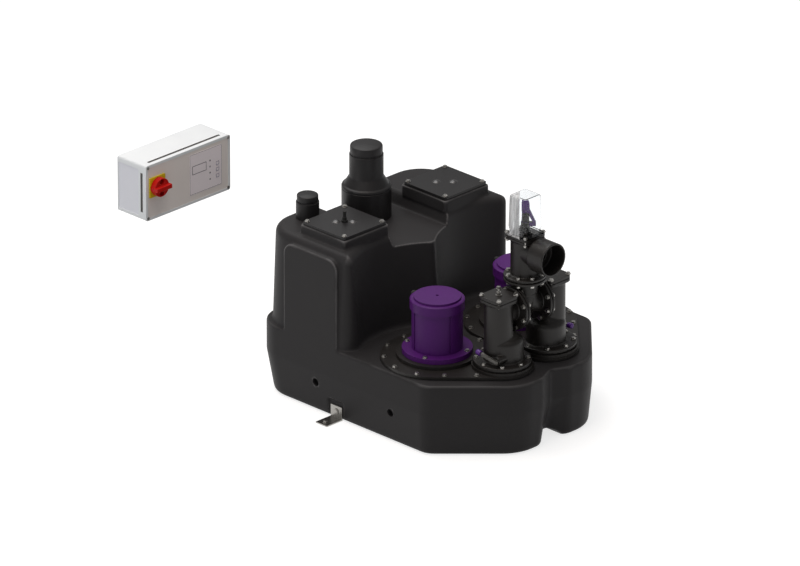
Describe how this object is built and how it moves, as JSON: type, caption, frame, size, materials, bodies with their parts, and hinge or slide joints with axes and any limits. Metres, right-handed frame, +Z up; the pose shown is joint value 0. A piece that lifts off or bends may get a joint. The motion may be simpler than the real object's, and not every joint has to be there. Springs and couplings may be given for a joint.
{
  "type": "sewage lifting station",
  "caption": "Black moulded tank with pumps, flap check valves, joining pipe and shut-off on its shelf, beside a small wall-mounted control unit.",
  "frame": {"origin": "middle of the tank's base, on the floor", "axes": "+X to the right along the front, +Y from the pumps towards the rear wall, +Z up; the outlet points along -Y"},
  "size_m": [1.147, 1.254, 0.823],
  "materials": {
    "tank_plastic": "satin moulded polyethylene, black",
    "cast_black": "black epoxy-coated casting, satin",
    "rubber": "matt black rubber",
    "motor_paint": "satin purple paint",
    "grip_purple": "satin purple plastic",
    "stainless": "plain stainless steel",
    "steel_dark": "ground steel",
    "windings": "varnished copper windings on steel laminations",
    "grey_plastic": "grey plastic",
    "bronze": "cast bronze",
    "clear_plastic": "clear moulded plastic",
    "case_plastic": "light grey plastic, fine grain",
    "cover_plastic": "light grey plastic cover",
    "panel_film": "grey printed film",
    "yellow_plastic": "yellow plastic plate",
    "red_plastic": "red plastic knob",
    "key_plastic": "soft grey key film",
    "board_green": "green circuit board"
  },
  "bodies": {
    "station": {"tank_shell": "tank_plastic", "inlet_spigot": "tank_plastic", "vent_spigot": "tank_plastic", "inspection_cover_left": "tank_plastic", "inspection_cover_right": "tank_plastic", "gaskets": "rubber", "cover_bolts": "stainless", "level_gland": "rubber", "level_bell": "grey_plastic", "pump_plate_left": "cast_black", "pump_plate_right": "cast_black", "plate_bolts": "stainless", "suction_rings": "cast_black", "motor_housing_left": "motor_paint", "motor_housing_right": "motor_paint", "motor_caps": "motor_paint", "motor_bolts": "stainless", "motor_glands": "rubber", "stators": "windings", "bearings": "steel_dark", "shaft_seals": "rubber", "valve_body_left": "cast_black", "valve_body_right": "cast_black", "valve_base_bolts": "stainless", "valve_lid_left": "cast_black", "valve_lid_right": "cast_black", "lid_bolts": "stainless", "vent_screw": "stainless", "wye_pipe": "cast_black", "branch_bolts": "stainless", "discharge_head": "cast_black", "head_bolts": "stainless", "bonnet": "cast_black", "clear_hood": "clear_plastic", "hood_bolts": "stainless", "floor_brackets": "stainless", "anchor_screws": "stainless", "control_case": "case_plastic", "control_cover": "cover_plastic", "cover_screws": "stainless", "switch_plate": "yellow_plastic", "membrane_panel": "panel_film", "control_glands": "rubber", "circuit_board": "board_green"},
    "rotor_left": {"rotor_shaft_left": "steel_dark", "impeller_left": "cast_black"},
    "rotor_right": {"rotor_shaft_right": "steel_dark", "impeller_right": "cast_black"},
    "flap_left": {"valve_flap_left": "rubber", "flap_shaft_left": "stainless", "lever_grip_left": "grip_purple"},
    "flap_right": {"valve_flap_right": "rubber", "flap_shaft_right": "stainless", "lever_grip_right": "grip_purple"},
    "shutoff": {"shutoff_plug": "bronze", "shutoff_handle": "grip_purple"},
    "main_switch": {"switch_knob": "red_plastic"},
    "upper_key": {"key_upper": "key_plastic"},
    "middle_key": {"key_middle": "key_plastic"},
    "lower_key": {"key_lower": "key_plastic"}
  },
  "joints": [
    {"name": "rotor_left_spin", "type": "hinge", "parent": "station", "child": "rotor_left", "pos_m": [-0.187, -0.145, 0.3], "axis": [0, 0, 1], "continuous": true},
    {"name": "rotor_right_spin", "type": "hinge", "parent": "station", "child": "rotor_right", "pos_m": [0.187, -0.145, 0.3], "axis": [0, 0, 1], "continuous": true},
    {"name": "flap_left_swing", "type": "hinge", "parent": "station", "child": "flap_left", "pos_m": [-0.102, -0.391, 0.302], "axis": [1, 0, 0], "range_deg": [0, 32]},
    {"name": "flap_right_swing", "type": "hinge", "parent": "station", "child": "flap_right", "pos_m": [0.102, -0.307, 0.302], "axis": [-1, 0, 0], "range_deg": [0, 32]},
    {"name": "shutoff_turn", "type": "hinge", "parent": "station", "child": "shutoff", "pos_m": [0, -0.349, 0.63], "axis": [0, 0, 1], "range_deg": [0, 90]},
    {"name": "main_switch_turn", "type": "hinge", "parent": "station", "child": "main_switch", "pos_m": [-0.665, 0.62, 0.744], "axis": [0, 1, 0], "range_deg": [0, 90]},
    {"name": "key_upper_press", "type": "slide", "parent": "station", "child": "upper_key", "axis": [0, 1, 0], "range_m": [0, 0.001], "stiffness_N_per_m": 900, "springref_m": -0.001},
    {"name": "key_middle_press", "type": "slide", "parent": "station", "child": "middle_key", "axis": [0, 1, 0], "range_m": [0, 0.001], "stiffness_N_per_m": 900, "springref_m": -0.001},
    {"name": "key_lower_press", "type": "slide", "parent": "station", "child": "lower_key", "axis": [0, 1, 0], "range_m": [0, 0.001], "stiffness_N_per_m": 900, "springref_m": -0.001}
  ]
}
